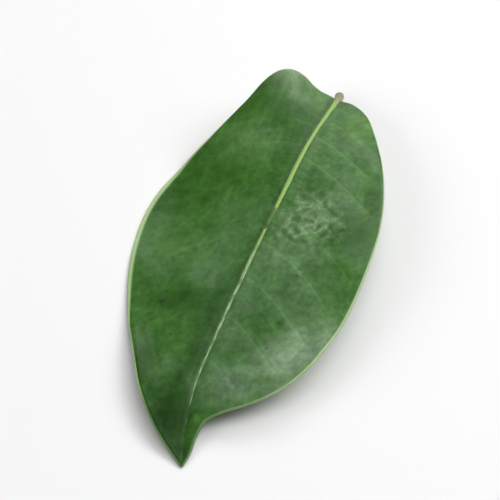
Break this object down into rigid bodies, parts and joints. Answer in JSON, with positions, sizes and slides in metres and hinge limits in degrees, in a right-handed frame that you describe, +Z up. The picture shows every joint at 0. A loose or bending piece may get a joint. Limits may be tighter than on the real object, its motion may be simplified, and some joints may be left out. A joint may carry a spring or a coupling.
{
  "type": "soursop leaf",
  "caption": "Picked soursop leaf with its short stalk, lying face up: a leathery oval blade folded a little along its midrib, with pressed-in side veins and a drawn-out tip.",
  "frame": {"origin": "on the surface that the leaf lies on, under the middle of the leaf's bounding box", "axes": "+Z up, out of the leaf's upper face; the leaf lies along Y, with its tip towards -Y and its stalk towards +Y; the left half, as seen from above with the stalk away from the viewer, is towards -X"},
  "size_m": [0.0582, 0.1294, 0.0163],
  "materials": {
    "leaf": "glossy leathery dark green, with a pale yellow-green midrib and margin and a matt paler underside"
  },
  "bodies": {
    "root": {"soursop_leaf": "leaf"}
  },
  "joints": []
}
